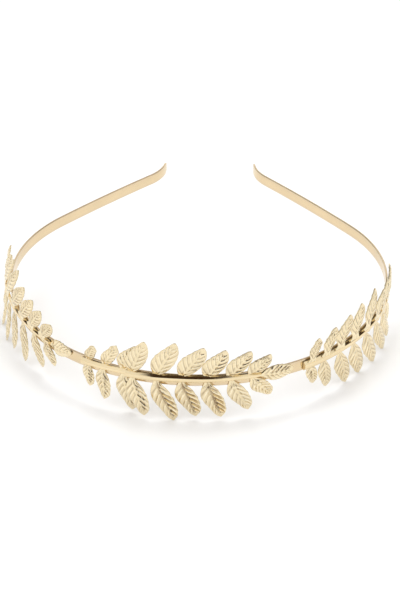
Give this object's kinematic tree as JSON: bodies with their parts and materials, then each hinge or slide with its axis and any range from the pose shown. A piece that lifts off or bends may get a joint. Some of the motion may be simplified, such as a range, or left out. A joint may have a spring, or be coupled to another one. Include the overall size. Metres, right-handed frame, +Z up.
{
  "type": "leaf headband",
  "caption": "Springy horseshoe headband of flat gold-tone strip with pressed leaf sprigs fixed along its outer face.",
  "frame": {"origin": "middle of the bounding box's underside, on the surface that the lowest leaf tips stand on", "axes": "+Z up, out of the hoop's plane; -Y to the front, where the long front sprig is; +X to the right as seen from the front, the way the leaves point there"},
  "size_m": [0.1458, 0.1616, 0.0307],
  "materials": {
    "band_gold": "polished gold-tone plating",
    "leaf_gold": "bright pressed gold-tone plating"
  },
  "bodies": {
    "root": {"band": "band_gold", "left_sprig": "leaf_gold", "center_base_sprig": "leaf_gold", "center_sprig": "leaf_gold", "right_sprig": "leaf_gold"}
  },
  "joints": []
}
